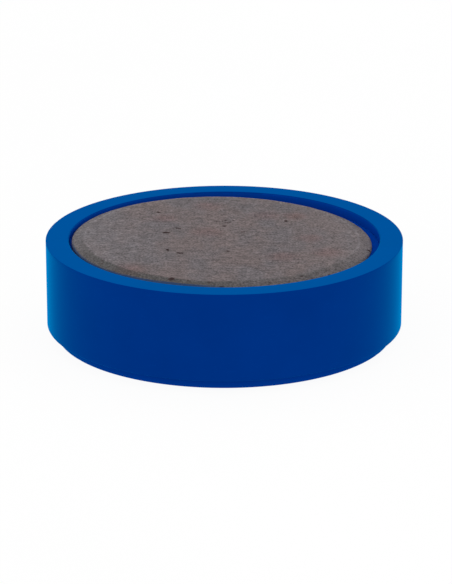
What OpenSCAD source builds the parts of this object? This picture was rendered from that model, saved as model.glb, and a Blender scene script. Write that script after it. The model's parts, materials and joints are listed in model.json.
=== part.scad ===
// One half of a round magnetic glass cleaner: a plastic ring on a stepped base,
// a stack of two ferrite discs potted in epoxy, and a felt pad that runs on the glass.
// Units are millimetres. Z = 0 is the pad's working face and +Z points out of the open magnet face.

/* [Housing ring] */
// Outside diameter of the ring
ring_d = 120; // [90:1:160]
// Thickness of the ring's wall
ring_wall = 7.75; // [6:0.25:10]
// Height of the ring
ring_h = 29.3; // [26:0.1:38]
// Chamfer that breaks the sharp edges of the ring and the base
edge_break = 0.3; // [0.1:0.1:0.6]

/* [Base plate] */
// How far the plate's rim is set in from the ring's wall
step_inset = 3; // [1:0.5:4]
// Height of the plate's rim below the ring
step_h = 3.5; // [3:0.5:5]
// Height of the spigot that centres the plate in the ring
spigot_h = 2.5; // [2:0.5:4]
// Radial glue gap between the spigot and the ring's bore
spigot_gap = 0.1; // [0.05:0.05:0.3]
// Width of the plate's rim around the pad's pocket
pocket_rim = 6.5; // [4:0.5:10]

/* [Magnets] */
// Radial gap between a centred magnet and the ring's bore
side_gap = 1.8; // [1.6:0.1:4]
// Width of the chamfer on each magnet face
chamfer_w = 4; // [1:0.5:6]
// Depth of the chamfer on each magnet face
chamfer_h = 1.25; // [0.5:0.25:3]
// How far the stack was bonded off centre, along X
magnet_shift = -0.8; // [-0.9:0.1:0.9]
// Lean of the stack about Y, in degrees
magnet_tilt = 0.9; // [0:0.1:1]

/* [Epoxy] */
// Thinnest place of the epoxy under the stack
bed_min = 0.4; // [0.2:0.1:1]
// How far below the ring's mouth the epoxy round the stack stops
fill_drop = 2.2; // [2:0.1:15]

/* [Cleaning pad] */
// Thickness of the felt pad
pad_h = 3; // [2:0.5:3.5]
// Thickness of the hook tape that holds the pad
hook_h = 1; // [0.8:0.1:1.2]
// How far the pad stands out of the base
pad_proud = 1; // [0.5:0.1:1.4]
// Radial gap around the pad in its pocket
pad_gap = 0.5; // [0.2:0.1:1]

/* [Hidden] */
$fn = 180;

blue = [0.0, 0.29, 0.58];
ferrite = [0.42, 0.40, 0.40];
lower_ferrite = [0.33, 0.31, 0.31];
resin = [0.05, 0.22, 0.47];
nylon = [0.12, 0.12, 0.13];
felt = [0.86, 0.85, 0.82];

ring_r = ring_d / 2;
bore_r = ring_r - ring_wall;

rim_r = ring_r - step_inset;
spigot_r = bore_r - spigot_gap;
pocket_r = rim_r - pocket_rim;
pocket_depth = pad_h + hook_h - pad_proud;
base_h = step_h + spigot_h;

base_z = pad_proud;
ring_z = base_z + step_h;
face_z = ring_z + ring_h;
well_z = base_z + base_h;

magnet_r = bore_r - side_gap;
bed_h = bed_min + magnet_r * sin(magnet_tilt);
disc_h = (face_z - well_z - bed_h) / 2;
fill_h = face_z - fill_drop - well_z;

pad_r = pocket_r - pad_gap;

// Puts a solid of revolution's outline, given as [radius, height] points, round the Z axis
module turned(outline) {
    rotate_extrude() polygon(outline);
}

// The magnets' own axis: zero height is the open face of the upper disc
module on_magnet_axis() {
    translate([magnet_shift, 0, face_z])
        rotate([0, magnet_tilt, 0])
            children();
}

// A ferrite disc with both faces chamfered, its upper face a number of discs below the open face
module ferrite_disc(discs_above) {
    on_magnet_axis()
        translate([0, 0, -(discs_above + 1) * disc_h])
            turned([
                [0, 0],
                [magnet_r - chamfer_w, 0],
                [magnet_r, chamfer_h],
                [magnet_r, disc_h - chamfer_h],
                [magnet_r - chamfer_w, disc_h],
                [0, disc_h]
            ]);
}

// The blue ring, open at both ends
module housing_ring() {
    color(blue)
        translate([0, 0, ring_z])
            turned([
                [bore_r, edge_break],
                [bore_r + edge_break, 0],
                [ring_r - edge_break, 0],
                [ring_r, edge_break],
                [ring_r, ring_h - edge_break],
                [ring_r - edge_break, ring_h],
                [bore_r + edge_break, ring_h],
                [bore_r, ring_h - edge_break]
            ]);
}

// The plate that closes the ring from below: a stepped rim, a centring spigot and a pocket for the pad
module base_plate() {
    color(blue)
        translate([0, 0, base_z])
            turned([
                [0, pocket_depth],
                [pocket_r, pocket_depth],
                [pocket_r, edge_break],
                [pocket_r + edge_break, 0],
                [rim_r - edge_break, 0],
                [rim_r, edge_break],
                [rim_r, step_h],
                [spigot_r, step_h],
                [spigot_r, base_h - edge_break],
                [spigot_r - edge_break, base_h],
                [0, base_h]
            ]);
}

// The magnet that shows in the ring's mouth
module ferrite_disc_top() {
    color(ferrite)
        ferrite_disc(0);
}

// The second magnet, stacked under the first
module ferrite_disc_bottom() {
    color(lower_ferrite)
        ferrite_disc(1);
}

// Blue epoxy under the stack and round both magnets, filling the bore wall to wall
module epoxy_bed() {
    color(resin)
        difference() {
            translate([0, 0, well_z])
                cylinder(r = bore_r, h = fill_h);
            ferrite_disc(0);
            ferrite_disc(1);
        }
}

// Self-adhesive hook tape on the roof of the base's pocket
module hook_tape() {
    color(nylon)
        translate([0, 0, base_z + pocket_depth - hook_h])
            cylinder(r = pad_r, h = hook_h);
}

// The felt pad that wipes the glass
module cleaning_pad() {
    color(felt)
        cylinder(r = pad_r, h = pad_h);
}

housing_ring();
base_plate();
ferrite_disc_top();
ferrite_disc_bottom();
epoxy_bed();
hook_tape();
cleaning_pad();
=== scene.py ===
"""Looks for a round magnetic glass cleaner: turned blue plastic, a ground ferrite face and a felt pad.

Blender's units are metres. Shapes are worked out in millimetres, and Shell.piece() scales them at the end.
"""

import json
import math
import random
from collections import namedtuple

import bmesh
import bpy
from mathutils import Matrix, Vector, noise
from mathutils.geometry import delaunay_2d_cdt


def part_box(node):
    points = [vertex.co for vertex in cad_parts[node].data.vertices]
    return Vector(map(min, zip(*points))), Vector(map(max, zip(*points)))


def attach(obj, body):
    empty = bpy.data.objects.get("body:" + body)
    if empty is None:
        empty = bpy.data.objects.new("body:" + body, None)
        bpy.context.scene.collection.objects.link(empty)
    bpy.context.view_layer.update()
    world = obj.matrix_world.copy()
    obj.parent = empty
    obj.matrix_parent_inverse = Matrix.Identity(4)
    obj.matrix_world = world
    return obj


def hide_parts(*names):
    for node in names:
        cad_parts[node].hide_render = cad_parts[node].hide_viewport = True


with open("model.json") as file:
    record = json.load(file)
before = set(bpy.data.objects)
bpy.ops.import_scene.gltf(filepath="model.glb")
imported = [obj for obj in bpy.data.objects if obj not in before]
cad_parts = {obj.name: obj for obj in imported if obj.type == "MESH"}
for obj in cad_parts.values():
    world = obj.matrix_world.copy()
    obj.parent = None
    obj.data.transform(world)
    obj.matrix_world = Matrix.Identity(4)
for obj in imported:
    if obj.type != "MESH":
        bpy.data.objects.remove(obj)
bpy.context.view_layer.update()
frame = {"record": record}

MM = 0.001
TURN = 2 * math.pi
GOLDEN_TURN = 2.39996
EDGE_COUNT = 720

# ---------------------------------------------------------------- sizes, read from the frame


def box_mm(node):
    """The lowest and highest corners of a CAD node, in millimetres."""
    low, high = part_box(node)
    return low / MM, high / MM


def mount(name):
    """A mount's place in millimetres and its axis."""
    found = next(m for m in frame["record"]["mounts"] if m["name"] == name)
    return Vector(found["pos_m"]) / MM, Vector(found["axis"]).normalized()


RING_LOW, RING_HIGH = box_mm("housing_ring")
BASE_LOW, BASE_HIGH = box_mm("base_plate")
EPOXY_LOW, EPOXY_HIGH = box_mm("epoxy_bed")
TAPE_LOW, TAPE_HIGH = box_mm("hook_tape")
PAD_LOW, PAD_HIGH = box_mm("cleaning_pad")
DISC_LOW, DISC_HIGH = box_mm("ferrite_disc_top")

RING_R = RING_HIGH.x
BORE_R = EPOXY_HIGH.x
SPIGOT_R = BORE_R - 0.1
RIM_R = BASE_HIGH.x
PAD_R = PAD_HIGH.x
POCKET_R = PAD_R + 0.5

MAGNET_R = DISC_HIGH.y
CHAMFER_W = 4.0
CHAMFER_H = 1.25
CHAMFER_WEAR = 0.15
FACE_R = MAGNET_R - CHAMFER_W
EPOXY_MIN = 0.4
FACE_CENTRE, FACE_AXIS = mount("magnet_face")
DISC_H = (FACE_CENTRE.z - EPOXY_LOW.z - EPOXY_MIN - MAGNET_R * FACE_AXIS.x) / 2

# the magnets' own frame: the open face's centre, with Z out of the face
LEAN = Vector((0, 0, 1)).rotation_difference(FACE_AXIS).to_matrix().to_4x4()
MAGNET_FRAME = Matrix.Translation(FACE_CENTRE) @ LEAN


# ---------------------------------------------------------------- mesh building

Hollow = namedtuple("Hollow", "x y radius depth")


def ripple(x, y, z, size, seed=0):
    """Smooth noise from -1 to 1 whose bumps are about size millimetres across."""
    return noise.noise(Vector((x / size + 31.7 * seed, y / size - 17.3 * seed, z / size + 5.1 * seed)))


def smooth(low, high, value):
    """0 up to low, 1 from high on, and an S curve between."""
    t = min(max((value - low) / (high - low), 0.0), 1.0)
    return t * t * (3 - 2 * t)


def bend(value, width):
    """0 while value is negative, value itself where it is positive, and a round bend of width at 0."""
    if value <= -width:
        return 0.0
    return value if value >= width else (value + width) ** 2 / (4 * width)


def circle(radius, height, count=EDGE_COUNT):
    """Points round the Z axis. A radius of 0 gives the one point on the axis."""
    if radius == 0:
        return [Vector((0, 0, height))]
    angles = (TURN * k / count for k in range(count))
    return [Vector((radius * math.cos(a), radius * math.sin(a), height)) for a in angles]


def filleted(corners, steps=6):
    """The outline of (radius, height) points that rounds (radius, height, fillet) corners."""
    outline = []
    for k, (radius, height, fillet) in enumerate(corners):
        here = Vector((radius, height))
        if fillet == 0:
            outline.append(here)
            continue
        before = (Vector(corners[k - 1][:2]) - here).normalized()
        after = (Vector(corners[(k + 1) % len(corners)][:2]) - here).normalized()
        half = before.angle(after) / 2
        centre = here + (before + after).normalized() * fillet / math.sin(half)
        first = here + before * fillet / math.tan(half) - centre
        last = here + after * fillet / math.tan(half) - centre
        sweep = math.atan2(first.cross(last), first.dot(last))
        for step in range(steps + 1):
            a = sweep * step / steps
            c, s = math.cos(a), math.sin(a)
            outline.append(centre + Vector((first.x * c - first.y * s, first.x * s + first.y * c)))
    return outline


def spaced(outline, longest, closed=False):
    """The outline with points added so that no stretch is longer than longest."""
    result = []
    for start, end in zip(outline, outline[1:] + outline[:1] if closed else outline[1:]):
        parts = max(1, math.ceil((end - start).length / longest))
        result += [start.lerp(end, k / parts) for k in range(parts)]
    return result if closed else result + [outline[-1]]


class Shell:
    """A closed mesh being built in millimetres, with one value a point for each named attribute."""

    def __init__(self):
        self.points = []
        self.faces = []
        self.values = {}

    def row(self, points):
        """Adds points and returns their numbers."""
        start = len(self.points)
        self.points += points
        return list(range(start, len(self.points)))

    def bridge(self, first, second):
        """Joins two rows of as many points each. A row of one point is a pole."""
        for k in range(max(len(first), len(second))):
            corners = [
                first[k % len(first)],
                first[(k + 1) % len(first)],
                second[(k + 1) % len(second)],
                second[k % len(second)],
            ]
            self.faces.append(tuple(dict.fromkeys(corners)))

    def skin(self, rows, closed=False):
        """Joins each row to the next, and with closed the last to the first."""
        for first, second in zip(rows, rows[1:] + rows[:1] if closed else rows[1:]):
            self.bridge(first, second)

    def sheet(self, flat, height):
        """Adds a triangulated plan, lifted to height(x, y), and returns the numbers of its edge."""
        points, triangles, edge = flat
        start = len(self.points)
        self.points += [Vector((p.x, p.y, height(p.x, p.y))) for p in points]
        self.faces += [tuple(start + k for k in t) for t in triangles]
        return [start + k for k in edge]

    def mark(self, name, value):
        """Gives every point a named value, worked out from the point."""
        self.values[name] = [value(p) for p in self.points]

    def piece(self, name, place=None):
        """The finished object, smooth, with its normals outward."""
        mesh = bpy.data.meshes.new(name)
        matrix = place or Matrix.Identity(4)
        mesh.from_pydata([(matrix @ p) * MM for p in self.points], [], self.faces)
        for key, values in self.values.items():
            mesh.attributes.new(key, "FLOAT", "POINT").data.foreach_set("value", values)
        solid = bmesh.new()
        solid.from_mesh(mesh)
        bmesh.ops.recalc_face_normals(solid, faces=solid.faces)
        solid.to_mesh(mesh)
        solid.free()
        mesh.shade_smooth()
        made = bpy.data.objects.new(name, mesh)
        bpy.context.scene.collection.objects.link(made)
        return made


def plan(radius, spacing, edge_radii=(), hollows=()):
    """Points and triangles that fill a circle: loose inside, dense on the edge rings and in each hollow."""
    inner = min((radius, *edge_radii)) - spacing / 2
    points = [Vector((0, 0))]
    rings = max(1, round(inner / spacing))
    for i in range(1, rings + 1):
        count = round(TURN * i * inner / rings / spacing)
        for k in range(count):
            a = TURN * k / count + GOLDEN_TURN * i
            points.append(Vector((math.cos(a), math.sin(a))) * i * inner / rings)
    places = [(Vector((h.x, h.y)), h.radius) for h in hollows if math.hypot(h.x, h.y) < inner - h.radius]
    points = [p for p in points if all((p - at).length > 1.8 * r for at, r in places)]
    for at, r in places:
        points.append(at)
        for i, share in enumerate((0.25, 0.5, 0.7, 0.85, 1.0, 1.2, 1.6)):
            angles = [TURN * (k + 0.5 * (i % 2)) / 14 for k in range(14)]
            points += [at + Vector((math.cos(a), math.sin(a))) * r * share for a in angles]
    for r in (*edge_radii, radius):
        points += [p.xy for p in circle(r, 0)]
    first_edge = len(points) - EDGE_COUNT
    made, _, triangles, sources, _, _ = delaunay_2d_cdt(points, [], [], 0, 1e-4, True)
    number = {source: k for k, group in enumerate(sources) for source in group}
    return made, triangles, [number[first_edge + k] for k in range(EDGE_COUNT)]


def lathe(name, corners, longest, closed=False, shape=None):
    """A piece turned from filleted corners. shape(point) may move each point a little."""
    shell = Shell()
    outline = spaced(filleted(corners), longest, closed)
    rows = []
    for radius, height in outline:
        points = circle(radius, height)
        rows.append(shell.row([shape(p) for p in points] if shape else points))
    shell.skin(rows, closed)
    return shell.piece(name)


# ---------------------------------------------------------------- pieces


def nicked(dents, lumps):
    """A shape function for lathe(): small dents, and a wall that is out of true by lumps millimetres."""

    def shape(p):
        out = Vector((p.x, p.y, 0)).normalized()
        moved = p + out * lumps * ripple(p.x, p.y, p.z, 38, 3)
        for centre, radius, depth in dents:
            away = (p - centre).length
            if away < radius:
                moved -= out * depth * (1 - (away / radius) ** 2) ** 2
        return moved

    return shape


def edge_dents(draw, radius, height, count):
    """Small dents scattered along a round edge."""
    dents = []
    for _ in range(count):
        a = draw.uniform(0, TURN)
        centre = Vector((radius * math.cos(a), radius * math.sin(a), height + draw.uniform(-0.3, 0.3)))
        dents.append((centre, draw.uniform(0.6, 1.3), draw.uniform(0.06, 0.16)))
    return dents


def make_ring():
    """The blue ring, with a crisp outer edge and a small break at the bore."""
    draw = random.Random(11)
    low, high = RING_LOW.z, RING_HIGH.z
    dents = edge_dents(draw, RING_R, high, 5) + edge_dents(draw, RING_R, low, 7)
    corners = [
        (BORE_R, low, 0.3),
        (RING_R, low, 0.15),
        (RING_R, high, 0.2),
        (BORE_R, high, 0.5),
    ]
    return lathe("ring_shell", corners, 1.6, closed=True, shape=nicked(dents, 0.04))


def make_base():
    """The stepped plate under the ring, with the pad's pocket below and the spigot above."""
    low, high = BASE_LOW.z, BASE_HIGH.z
    corners = [
        (0, TAPE_HIGH.z, 0),
        (POCKET_R, TAPE_HIGH.z, 0.25),
        (POCKET_R, low, 0.35),
        (RIM_R, low, 0.45),
        (RIM_R, RING_LOW.z, 0),
        (SPIGOT_R, RING_LOW.z, 0.1),
        (SPIGOT_R, high, 0.4),
        (0, high, 0),
    ]
    draw = random.Random(23)
    return lathe("base_shell", corners, 2.5, shape=nicked(edge_dents(draw, RIM_R, low, 4), 0.03))


# voids in the open face: a group's middle (x, y), its half width and half depth, how many voids it has, and
# the smallest and largest radius of one. The last row scatters small ones over the whole face.
PIT_GROUPS = [
    (-19, 4, 1, 0.3, 9, 0.5, 0.7),
    (-16, 9, 2, 0.5, 7, 0.3, 0.5),
    (-18, -15, 0.3, 1, 5, 0.4, 0.6),
    (-14, -18, 1, 0.3, 8, 0.4, 0.6),
    (-22, 27, 0.5, 0.5, 3, 0.4, 0.6),
    (2, 18, 2, 2, 7, 0.4, 0.5),
    (1, 12, 0.5, 1, 3, 0.3, 0.5),
    (2, -15, 0.5, 0.5, 3, 0.4, 0.5),
    (7, 6, 0.5, 0.5, 2, 0.4, 0.5),
    (22, 19, 0.5, 0.5, 3, 0.4, 0.6),
    (0, 0, 44, 44, 54, 0.15, 0.3),
]


def make_pits(draw):
    """The small voids that show in the ground face."""
    pits = []
    for x, y, half_width, half_depth, count, smallest, largest in PIT_GROUPS:
        for _ in range(count):
            a, share = draw.uniform(0, TURN), math.sqrt(draw.random())
            radius = draw.uniform(smallest, largest)
            place = x + half_width * share * math.cos(a), y + half_depth * share * math.sin(a)
            pits.append(Hollow(*place, radius, radius * 0.8))
    return pits


# chips on the chamfer: the angle round the disc in degrees, how far out from the face's edge, and their size
CHIPS = [
    (-110, 0.5, 1.0),
    (-90, 3.0, 0.7),
    (-45, 3.5, 0.8),
    (-10, 3.5, 0.8),
]


def make_chips(draw, count):
    """Chips on the chamfer and small crumbled places along the face's edge."""
    chips = []
    for degrees, out, size in CHIPS:
        a, r = math.radians(degrees), FACE_R + out
        chips.append(Hollow(r * math.cos(a), r * math.sin(a), size, size * 0.6))
    for _ in range(count):
        a, r = draw.uniform(0, TURN), FACE_R + draw.uniform(0, CHAMFER_W - 0.3)
        size = draw.uniform(0.25, 0.6)
        chips.append(Hollow(r * math.cos(a), r * math.sin(a), size, size * draw.uniform(0.1, 0.3)))
    return chips


def hollow_depth(x, y, hollows):
    """How deep the hollows are at a place, with ragged outlines, and 0 between them."""
    deepest = 0.0
    for h in hollows:
        dx, dy = x - h.x, y - h.y
        if abs(dx) > 1.6 * h.radius or abs(dy) > 1.6 * h.radius:
            continue
        ragged = h.radius * (1 + 0.35 * ripple(x, y, 0, 0.7 * h.radius, 7))
        share = math.hypot(dx, dy) / ragged
        if share < 1:
            deepest = max(deepest, h.depth * smooth(0, 1, 1 - share) ** 0.6)
    return deepest


def face_height(x, y, hollows):
    """Height of a magnet's face at a place in its own frame, chamfer and marks included."""
    r = math.hypot(x, y)
    worn_edge = FACE_R + 0.22 * ripple(x, y, 0, 6, 1) + 0.1 * ripple(x, y, 0, 1.3, 2)
    slope = (CHAMFER_H + CHAMFER_WEAR) / CHAMFER_W * bend(r - worn_edge, 0.4)
    corner = 0.25 * smooth(MAGNET_R - 0.5, MAGNET_R, r) ** 2
    pressed = 0.06 * smooth(FACE_R, FACE_R + 1, r) * ripple(x, y, 0, 1.1, 4)
    ground = 0.02 * ripple(x, y, 0, 14, 5) - 0.02
    return ground - slope - corner + pressed - hollow_depth(x, y, hollows)


# reddish stains on the open face and its chamfer: (x, y) and radius
STAINS = [
    (-5, 5, 6),
    (-20, 20, 5),
    (-5, 35, 6),
    (15, 25, 6),
    (25, 25, 5),
    (20, -20, 6),
    (35, -15, 6),
    (30, 0, 5),
    (-30, -35, 6),
]


def stained(x, y):
    """How rusty the face is at a place, from 0 to 1."""
    return max(smooth(1.3 * r, 0.2 * r, math.hypot(x - at_x, y - at_y)) for at_x, at_y, r in STAINS)


def pale_edge(x, y):
    """1 on the line where the ground face meets the chamfer, which is painted paler there, and 0 at the
    front.
    """
    a = math.degrees(math.atan2(y, x))
    sharp = max(smooth(-125, -150, a), smooth(-30, -12, a))
    return sharp * smooth(0.6, 0.0, abs(math.hypot(x, y) - FACE_R + 0.35))


def pressed_skin(x, y):
    """1 on the unground chamfer, darkest on the front left, and 0 on the face."""
    a = math.degrees(math.atan2(y, x))
    front = smooth(-8, -35, a)
    level = max(smooth(-192, -142, a) * max(0.5 * front, smooth(-66, -94, a)), 0.15)
    start = FACE_R - 0.05 - front * smooth(-95, -75, a)
    return level * smooth(start, start + 0.55, math.hypot(x, y))


def dusty(x, y):
    """How far pale dust greys the face at a place, from 0 to 1."""
    return max(smooth(-12, -44, x + 0.3 * y) * smooth(-42, -14, y), 0.5 * smooth(24, 44, x))


def painted_gap_shade(x, y):
    """1 on a dark blue band painted along the chamfer's outer edge at the front left, where the gap is
    narrow: painted shade of that gap.
    """
    a = math.degrees(math.atan2(y, x))
    start = MAGNET_R - 0.6 - 1.3 * smooth(-150, -105, a)
    return smooth(-180, -165, a) * smooth(-86, -102, a) * smooth(start, start + 0.3, math.hypot(x, y))


# rings of points that the face's mesh has near its edge: how far out from the edge each one is
EDGE_RINGS = (-0.9, -0.5, -0.2, 0.1, 0.4, 0.8, 1.4, 2.0, 2.4, 2.7, 3.0, 3.3, 3.6, 3.85)


def make_disc(name, discs_above, spacing, hollows):
    """A ferrite disc in the magnets' frame, its face the given number of discs below the open one."""
    shell = Shell()
    flat = plan(MAGNET_R, spacing, [FACE_R + out for out in EDGE_RINGS], hollows)
    face = shell.sheet(flat, lambda x, y: face_height(x, y, hollows))
    top = -CHAMFER_H - CHAMFER_WEAR - 0.35
    bottom = -DISC_H + CHAMFER_H
    rows = [face]
    for k in range(1, 8):
        height = top + (bottom - top) * k / 7
        wall = [p + p.normalized() * 0.04 * ripple(p.x, p.y, height, 2.5, 6) for p in circle(MAGNET_R, 0)]
        rows.append(shell.row([Vector((p.x, p.y, height)) for p in wall]))
    for radius in (FACE_R, FACE_R * 0.75, FACE_R * 0.5, FACE_R * 0.25, 0):
        rows.append(shell.row(circle(radius, -DISC_H)))
    shell.skin(rows)
    marks = {
        "hollow_shade": lambda x, y: hollow_depth(x, y, hollows),
        "rim": pale_edge,
        "skin": pressed_skin,
        "stain": stained,
        "dust": dusty,
        "gap_shade": painted_gap_shade,
    }
    for key, value in marks.items():
        on_wall = 1.0 if key == "skin" else 0.0
        shell.mark(key, lambda p: value(p.x, p.y) if p.z > top else on_wall)
    return shell.piece(name, MAGNET_FRAME @ Matrix.Translation((0, 0, -discs_above * DISC_H)))


def make_epoxy():
    """Epoxy that fills the bore, creeps up both walls, and climbs highest where the gap is narrow."""
    shell = Shell()
    top = EPOXY_HIGH.z - 0.5

    def on_stack(radius, depth):
        """Points round the magnets' axis, depth below the open face."""
        return [MAGNET_FRAME @ p for p in circle(radius, -depth)]

    def level(p):
        """How high the epoxy stands on the side of the bore that p is on."""
        return top - 0.7 * smooth(-1, 1, p.x / BORE_R)

    outer, inner = circle(BORE_R, 0), on_stack(MAGNET_R, FACE_CENTRE.z - top)
    rows = [shell.row(circle(0, EPOXY_LOW.z)), shell.row(circle(BORE_R, EPOXY_LOW.z))]
    for k in range(9):
        t = k / 8
        across = [a.lerp(b, t).xy for a, b in zip(outer, inner)]
        creep = 0.5 * abs(2 * t - 1) ** 3 - 0.15
        rows.append(shell.row([Vector((*p, level(p) + creep + 0.15 * ripple(*p, 0, 7, 8))) for p in across]))
    for radius, depth in (
        (MAGNET_R, DISC_H - CHAMFER_H),
        (FACE_R, DISC_H),
        (MAGNET_R, DISC_H + CHAMFER_H),
        (MAGNET_R, 2 * DISC_H - CHAMFER_H),
        (FACE_R, 2 * DISC_H),
        (0, 2 * DISC_H),
    ):
        rows.append(shell.row(on_stack(radius, depth)))
    shell.skin(rows)
    return shell.piece("epoxy_fill")


def make_tape():
    """The woven hook tape on the roof of the pad's pocket, ribbed on its underside."""
    shell = Shell()
    low, high = TAPE_LOW.z, TAPE_HIGH.z
    flat = plan(PAD_R - 0.2, 0.8)
    rib = 1.6
    roof = shell.sheet(flat, lambda x, y: high)
    ribs = shell.sheet(flat, lambda x, y: low + 0.12 - 0.1 * math.cos(TURN * x / rib))
    middle = shell.row(circle(PAD_R, (low + high) / 2))
    shell.skin([roof, middle, ribs])
    return shell.piece("hook_tape_disc")


def make_pad():
    """The felt pad: a soft-edged disc, matted and uneven all over."""
    shell = Shell()
    low, high = PAD_LOW.z, PAD_HIGH.z
    flat = plan(PAD_R - 0.9, 0.75, [PAD_R - 1.6, PAD_R - 1.2])

    def matted(x, y, side):
        """How far the felt lies back from its flat face. side picks the noise."""
        tufts = 0.5 + 0.5 * ripple(x, y, side, 2.2, 9)
        fuzz = 0.5 + 0.5 * ripple(x, y, side, 0.9, 10)
        return 0.1 * tufts + 0.07 * fuzz

    upper = shell.sheet(flat, lambda x, y: high - matted(x, y, 40))
    lower = shell.sheet(flat, lambda x, y: low + matted(x, y, 80))
    rows = [upper]
    for share in (0.93, 0.8, 0.62, 0.45, 0.28, 0.14, 0.05):
        bulge = math.sqrt(1 - (2 * share - 1) ** 4)
        points = circle(PAD_R - 0.9 + 0.8 * bulge, low + (high - low) * share)
        rows.append(shell.row([p + p.xy.to_3d().normalized() * 0.12 * ripple(*p, 1.4, 12) for p in points]))
    rows.append(lower)
    shell.skin(rows)
    return shell.piece("felt_pad")


# ---------------------------------------------------------------- materials


def node(tree, kind, inputs=None, **settings):
    """Adds a shader node. Each input is a value or another node's output."""
    made = tree.nodes.new(kind)
    for key, value in settings.items():
        setattr(made, key, value)
    for key, value in (inputs or {}).items():
        if isinstance(value, bpy.types.NodeSocket):
            tree.links.new(value, made.inputs[key])
        else:
            made.inputs[key].default_value = value
    return made


def blank_material(name):
    """A material's tree and its Principled node, with nothing else in it."""
    material = bpy.data.materials.new(name)
    material.use_nodes = True
    tree = material.node_tree
    tree.nodes.clear()
    shader = node(tree, "ShaderNodeBsdfPrincipled")
    node(tree, "ShaderNodeOutputMaterial", {"Surface": shader.outputs["BSDF"]})
    return material, tree, shader


def place_in(tree, scale):
    """The point's place in the object, in units of 1/scale metres. scale is a number or three."""
    place = node(tree, "ShaderNodeTexCoord").outputs["Object"]
    size = scale if isinstance(scale, tuple) else (scale, scale, scale)
    return node(tree, "ShaderNodeMapping", {"Vector": place, "Scale": size}).outputs["Vector"]


def grain(tree, scale, detail=4.0, roughness=0.55):
    """Noise from 0 to 1 over the object."""
    made = node(tree, "ShaderNodeTexNoise", {"Vector": place_in(tree, scale), "Scale": 1.0, "Detail": detail})
    made.inputs["Roughness"].default_value = roughness
    return made.outputs["Fac"]


def remap(tree, value, low, high, to_low=0.0, to_high=1.0):
    """value moved from the range low..high to the range to_low..to_high, and held there."""
    ends = {"Value": value, "From Min": low, "From Max": high, "To Min": to_low, "To Max": to_high}
    return node(tree, "ShaderNodeMapRange", ends).outputs["Result"]


def blend_colour(tree, factor, first, second, mode="MIX"):
    """A mix of two colours."""
    made = node(tree, "ShaderNodeMix", data_type="RGBA", blend_type=mode)
    for socket, value in ((made.inputs[0], factor), (made.inputs[6], first), (made.inputs[7], second)):
        if isinstance(value, bpy.types.NodeSocket):
            tree.links.new(value, socket)
        elif isinstance(value, tuple):
            socket.default_value = (*value, 1.0)
        else:
            socket.default_value = value
    return made.outputs[2]


def sums(tree, *values):
    """The sum of several values."""
    total = values[0]
    for value in values[1:]:
        total = node(tree, "ShaderNodeMath", {0: total, 1: value}, operation="ADD").outputs[0]
    return total


def bump(tree, shader, height, distance_mm):
    """Raises the surface by height times distance_mm."""
    made = node(tree, "ShaderNodeBump", {"Height": height, "Distance": distance_mm * MM, "Strength": 1.0})
    tree.links.new(made.outputs["Normal"], shader.inputs["Normal"])


def turned_marks(tree, per_metre):
    """Fine rings left by a lathe: noise that changes only with radius and height."""
    place = node(tree, "ShaderNodeTexCoord").outputs["Object"]
    parts = node(tree, "ShaderNodeSeparateXYZ", {"Vector": place}).outputs
    flat = node(tree, "ShaderNodeCombineXYZ", {"X": parts["X"], "Y": parts["Y"]}).outputs["Vector"]
    radius = node(tree, "ShaderNodeVectorMath", {0: flat}, operation="LENGTH").outputs["Value"]
    along = node(tree, "ShaderNodeCombineXYZ", {"X": radius, "Y": parts["Z"]}).outputs["Vector"]
    made = node(tree, "ShaderNodeTexNoise", {"Vector": along, "Scale": per_metre, "Detail": 3.0})
    return made.outputs["Fac"]


def blue_plastic(name, light, sheen, sheen_roughness=0.345):
    """Turned blue plastic, satin, with faint tool rings and scuffs.

    light scales its colour; above 1 it is painted light, which makes a copy lighter than the wall in place of
    light and reflection the scene doesn't give it.
    sheen is how much it shines at a grazing angle, set differently for each copy.
    """
    material, tree, shader = blank_material(name)
    cloud = grain(tree, 45.0, 3.0)
    scuffs = remap(tree, grain(tree, (260.0, 260.0, 1400.0), 5.0, 0.7), 0.62, 0.78)
    deep, fresh = (0.0, 0.0275 * light, 0.208 * light), (0.0, 0.0305 * light, 0.226 * light)
    base = blend_colour(tree, remap(tree, cloud, 0.3, 0.7), deep, fresh)
    scuffed = (0.0, 0.038 * light, 0.25 * light)
    tree.links.new(blend_colour(tree, scuffs, base, scuffed), shader.inputs["Base Color"])
    rings = turned_marks(tree, 1800.0)
    rough = sums(tree, remap(tree, cloud, 0.3, 0.7, 0.46, 0.52), remap(tree, scuffs, 0, 1, 0, 0.1))
    tree.links.new(rough, shader.inputs["Roughness"])
    bump(tree, shader, sums(tree, remap(tree, rings, 0.3, 0.7), remap(tree, grain(tree, 900.0), 0, 1)), 0.004)
    shader.inputs["IOR"].default_value = 1.5
    shader.inputs["Specular IOR Level"].default_value = 0.0
    shader.inputs["Sheen Weight"].default_value = sheen
    shader.inputs["Sheen Roughness"].default_value = sheen_roughness
    shader.inputs["Sheen Tint"].default_value = (0.0, 0.46, 1.0, 1.0)
    return material


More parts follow.
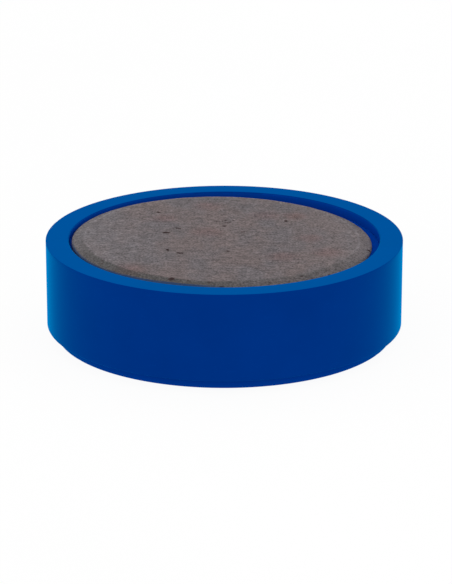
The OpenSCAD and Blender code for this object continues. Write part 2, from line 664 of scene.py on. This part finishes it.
def ferrite(name, shade):
    """Sintered ferrite: a ground face, mottled grey to brown, a darker pressed chamfer, and voids painted
    dark as painted shade. shade scales its mottled colours, and below 1 it is painted shade.
    """
    material, tree, shader = blank_material(name)

    def shaded(red, green, blue):
        return red * shade, green * shade, blue * shade

    def point_value(key, low, high, to_low, to_high):
        value = node(tree, "ShaderNodeAttribute", attribute_name=key).outputs["Fac"]
        return remap(tree, value, low, high, to_low, to_high)

    patches = remap(tree, grain(tree, (100.0, 50.0, 100.0), 2.0, 0.5), 0.38, 0.62)
    streaks = grain(tree, (150.0, 1000.0, 300.0), 4.0, 0.6)
    flecks = grain(tree, 420.0, 5.0, 0.65)
    specks = grain(tree, 1500.0, 2.0, 0.6)
    colour = blend_colour(tree, patches, shaded(0.116, 0.101, 0.108), shaded(0.134, 0.105, 0.105))
    colour = blend_colour(tree, point_value("dust", 0, 1, 0, 0.4), colour, shaded(0.154, 0.147, 0.161))
    colour = blend_colour(tree, point_value("rim", 0, 1, 0, 0.5), colour, shaded(0.185, 0.168, 0.182))
    for tone, low, high in ((streaks, 0.78, 1.22), (flecks, 0.62, 1.38)):
        colour = blend_colour(tree, 1.0, colour, remap(tree, tone, 0.25, 0.75, low, high), "MULTIPLY")
    colour = blend_colour(tree, point_value("skin", 0, 1, 0, 0.79), colour, shaded(0.0645, 0.0640, 0.0625))
    colour = blend_colour(tree, point_value("stain", 0, 1, 0, 0.8), colour, (1.04, 0.84, 0.82), "MULTIPLY")
    colour = blend_colour(tree, 1.0, colour, remap(tree, specks, 0.25, 0.75, 0.4, 1.6), "MULTIPLY")
    # voids and chips painted nearly black with their depth: painted shade in the hollows
    colour = blend_colour(tree, point_value("hollow_shade", 0.0, 0.08, 0, 1), colour, (0.040, 0.024, 0.024))
    # a dark blue band along the chamfer's outer edge at the front left: painted shade of the narrow gap
    colour = blend_colour(tree, point_value("gap_shade", 0, 1, 0, 0.9), colour, (0.005, 0.035, 0.11))
    tree.links.new(colour, shader.inputs["Base Color"])
    tree.links.new(remap(tree, specks, 0.3, 0.7, 0.72, 0.6), shader.inputs["Roughness"])
    bump(tree, shader, sums(tree, specks, streaks), 0.012)
    shader.inputs["IOR"].default_value = 1.5
    shader.inputs["Specular IOR Level"].default_value = 0.15
    return material


def epoxy():
    """Blue-tinted epoxy, clouded, with a smooth skin, its blue painted lighter than the plastic's as painted
    light for the shaded gap it fills.
    """
    material, tree, shader = blank_material("epoxy")
    cloud = remap(tree, grain(tree, 120.0, 3.0), 0.3, 0.7)
    # the tint is painted about 1.5 times lighter than the plastic's blue: painted light for the shaded gap
    # the epoxy fills
    tint = blend_colour(tree, cloud, (0.0, 0.042, 0.31), (0.0, 0.046, 0.34))
    tree.links.new(tint, shader.inputs["Base Color"])
    tree.links.new(remap(tree, cloud, 0, 1, 0.3, 0.4), shader.inputs["Roughness"])
    bump(tree, shader, grain(tree, 300.0), 0.03)
    shader.inputs["Specular IOR Level"].default_value = 0.0
    return material


def hook_nylon():
    """Black nylon hook tape: rows of tiny hooks on a woven ground."""
    material, tree, shader = blank_material("hook_nylon")
    hooks = node(tree, "ShaderNodeTexVoronoi", {"Vector": place_in(tree, 1100.0), "Scale": 1.0})
    near = remap(tree, hooks.outputs["Distance"], 0.1, 0.5, 1.0, 0.0)
    thread = blend_colour(tree, near, (0.012, 0.012, 0.014), (0.05, 0.05, 0.055))
    tree.links.new(thread, shader.inputs["Base Color"])
    tree.links.new(remap(tree, near, 0, 1, 0.7, 0.45), shader.inputs["Roughness"])
    bump(tree, shader, near, 0.15)
    return material


def felt():
    """Off-white wool felt: matted fibres that run every way."""
    material, tree, shader = blank_material("felt")
    one_way = grain(tree, (300.0, 2600.0, 900.0), 4.0, 0.7)
    other_way = grain(tree, (2600.0, 320.0, 900.0), 4.0, 0.7)
    fibres = node(tree, "ShaderNodeMath", {0: one_way, 1: other_way}, operation="MAXIMUM").outputs[0]
    fibres = remap(tree, fibres, 0.42, 0.75)
    tufts = remap(tree, grain(tree, 260.0, 3.0), 0.3, 0.7)
    wool = blend_colour(tree, fibres, (0.56, 0.54, 0.49), (0.80, 0.78, 0.74))
    tufted = blend_colour(tree, remap(tree, tufts, 0, 1, 0, 0.25), wool, (0.5, 0.48, 0.43))
    tree.links.new(tufted, shader.inputs["Base Color"])
    tree.links.new(remap(tree, fibres, 0, 1, 0.95, 0.85), shader.inputs["Roughness"])
    bump(tree, shader, sums(tree, fibres, tufts), 0.12)
    shader.inputs["Sheen Weight"].default_value = 0.3
    shader.inputs["Sheen Roughness"].default_value = 0.5
    return material


# ---------------------------------------------------------------- assembly


def dress(piece, material, node_name):
    """Gives a piece its material, rides it on the puck and lets it stand for its CAD node."""
    piece.data.materials.append(material)
    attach(piece, "root")
    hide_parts(node_name)
    return piece


def build_cleaner():
    """All seven pieces."""
    blue = blue_plastic("blue_plastic", 1.0, 0.94)
    draw = random.Random(5)
    top_marks = make_pits(draw) + make_chips(draw, 24)
    ring = dress(make_ring(), blue, "housing_ring")
    # the bore's copy is painted 1.75 times lighter than the wall: painted light in place of the light bounced
    # into the bore
    ring.data.materials.append(blue_plastic("blue_plastic_bore_painted_light", 1.75, 0.0))
    # the rim top's copy is painted 1.1 times lighter with less sheen: painted reflection that keeps the top
    # evenly bright
    ring.data.materials.append(blue_plastic("blue_plastic_rim_painted_light", 1.1, 0.21, 1.0))
    # faces on the bore take the painted-light bore copy, faces on the top the painted-light rim copy
    for face in ring.data.polygons:
        if face.center.xy.length < (BORE_R + 0.06) * MM:
            face.material_index = 1
        elif face.center.z > (RING_HIGH.z - 0.02) * MM:
            face.material_index = 2
    # the base plate's copy is painted 1.2 times lighter: painted light that lifts the step near the floor
    dress(make_base(), blue_plastic("blue_plastic_base_painted_light", 1.2, 1.0), "base_plate")
    upper = make_disc("magnet_top", 0, 1.1, top_marks)
    dress(upper, ferrite("ferrite", 1.0), "ferrite_disc_top")
    lower = make_disc("magnet_bottom", 1, 3.0, [])
    # the lower disc's copy is painted 0.8 as dark: painted shade for the disc deep in the bore
    dress(lower, ferrite("ferrite_painted_shade", 0.8), "ferrite_disc_bottom")
    dress(make_epoxy(), epoxy(), "epoxy_bed")
    dress(make_tape(), hook_nylon(), "hook_tape")
    pad = dress(make_pad(), felt(), "cleaning_pad")


# ---------------------------------------------------------------- stage


def make_floor():
    """A pale floor lit a little from within, as a light table is, so that shadows stay faint."""
    half = 4.0
    mesh = bpy.data.meshes.new("floor")
    corners = [(-half, -half, 0), (half, -half, 0), (half, half, 0), (-half, half, 0)]
    mesh.from_pydata(corners, [], [(0, 1, 2, 3)])
    floor = bpy.data.objects.new("floor", mesh)
    bpy.context.scene.collection.objects.link(floor)
    material, tree, shader = blank_material("pale_floor")
    cloud = remap(tree, grain(tree, 3.0), 0.3, 0.7)
    paint = blend_colour(tree, cloud, (0.045, 0.045, 0.045), (0.055, 0.055, 0.055))
    tree.links.new(paint, shader.inputs["Base Color"])
    shader.inputs["Emission Color"].default_value = (1.0, 1.0, 1.0, 1.0)
    shader.inputs["Emission Strength"].default_value = 0.945
    shader.inputs["Roughness"].default_value = 0.9
    shader.inputs["Specular IOR Level"].default_value = 0.0
    mesh.materials.append(material)


def make_lights():
    """A white tent all round, and a wide soft lamp overhead."""
    world = bpy.data.worlds.new("tent")
    world.use_nodes = True
    background = world.node_tree.nodes["Background"]
    background.inputs["Color"].default_value = (1.0, 1.0, 1.0, 1.0)
    background.inputs["Strength"].default_value = 0.95
    bpy.context.scene.world = world
    lamp = bpy.data.lights.new("overhead", "AREA")
    lamp.shape = "DISK"
    lamp.size = 1.6
    lamp.energy = 2.0
    overhead = bpy.data.objects.new("overhead", lamp)
    overhead.location = (0.0, 0.2, 1.4)
    bpy.context.scene.collection.objects.link(overhead)


# the view: degrees above level, the lens in millimetres, and in ring radii how far off the camera stands
# and how far right of and below the middle of the mouth it aims
VIEW_ELEVATION = 18.88
VIEW_LENS = 175.98
VIEW_DISTANCE = 16.0
AIM_RIGHT = 0.0095
AIM_DOWN = 0.3084


def make_camera():
    """A long lens, looking down a little on the ring's mouth."""
    ring_r = RING_R * MM
    elevation = math.radians(VIEW_ELEVATION)
    right = Vector((1, 0, 0))
    ahead = Vector((0, math.cos(elevation), -math.sin(elevation)))
    up = right.cross(ahead)
    mouth = Vector((0, 0, RING_HIGH.z * MM))
    aim = mouth + right * AIM_RIGHT * ring_r - up * AIM_DOWN * ring_r
    data = bpy.data.cameras.new("camera")
    data.sensor_width = 36.0
    data.lens = VIEW_LENS
    data.clip_start = 0.05
    camera = bpy.data.objects.new("camera", data)
    camera.location = aim - ahead * VIEW_DISTANCE * ring_r
    camera.rotation_euler = ahead.to_track_quat("-Z", "Y").to_euler()
    bpy.context.scene.collection.objects.link(camera)
    bpy.context.scene.camera = camera


build_cleaner()
make_floor()
make_lights()
make_camera()
bpy.context.scene.view_settings.view_transform = "Standard"
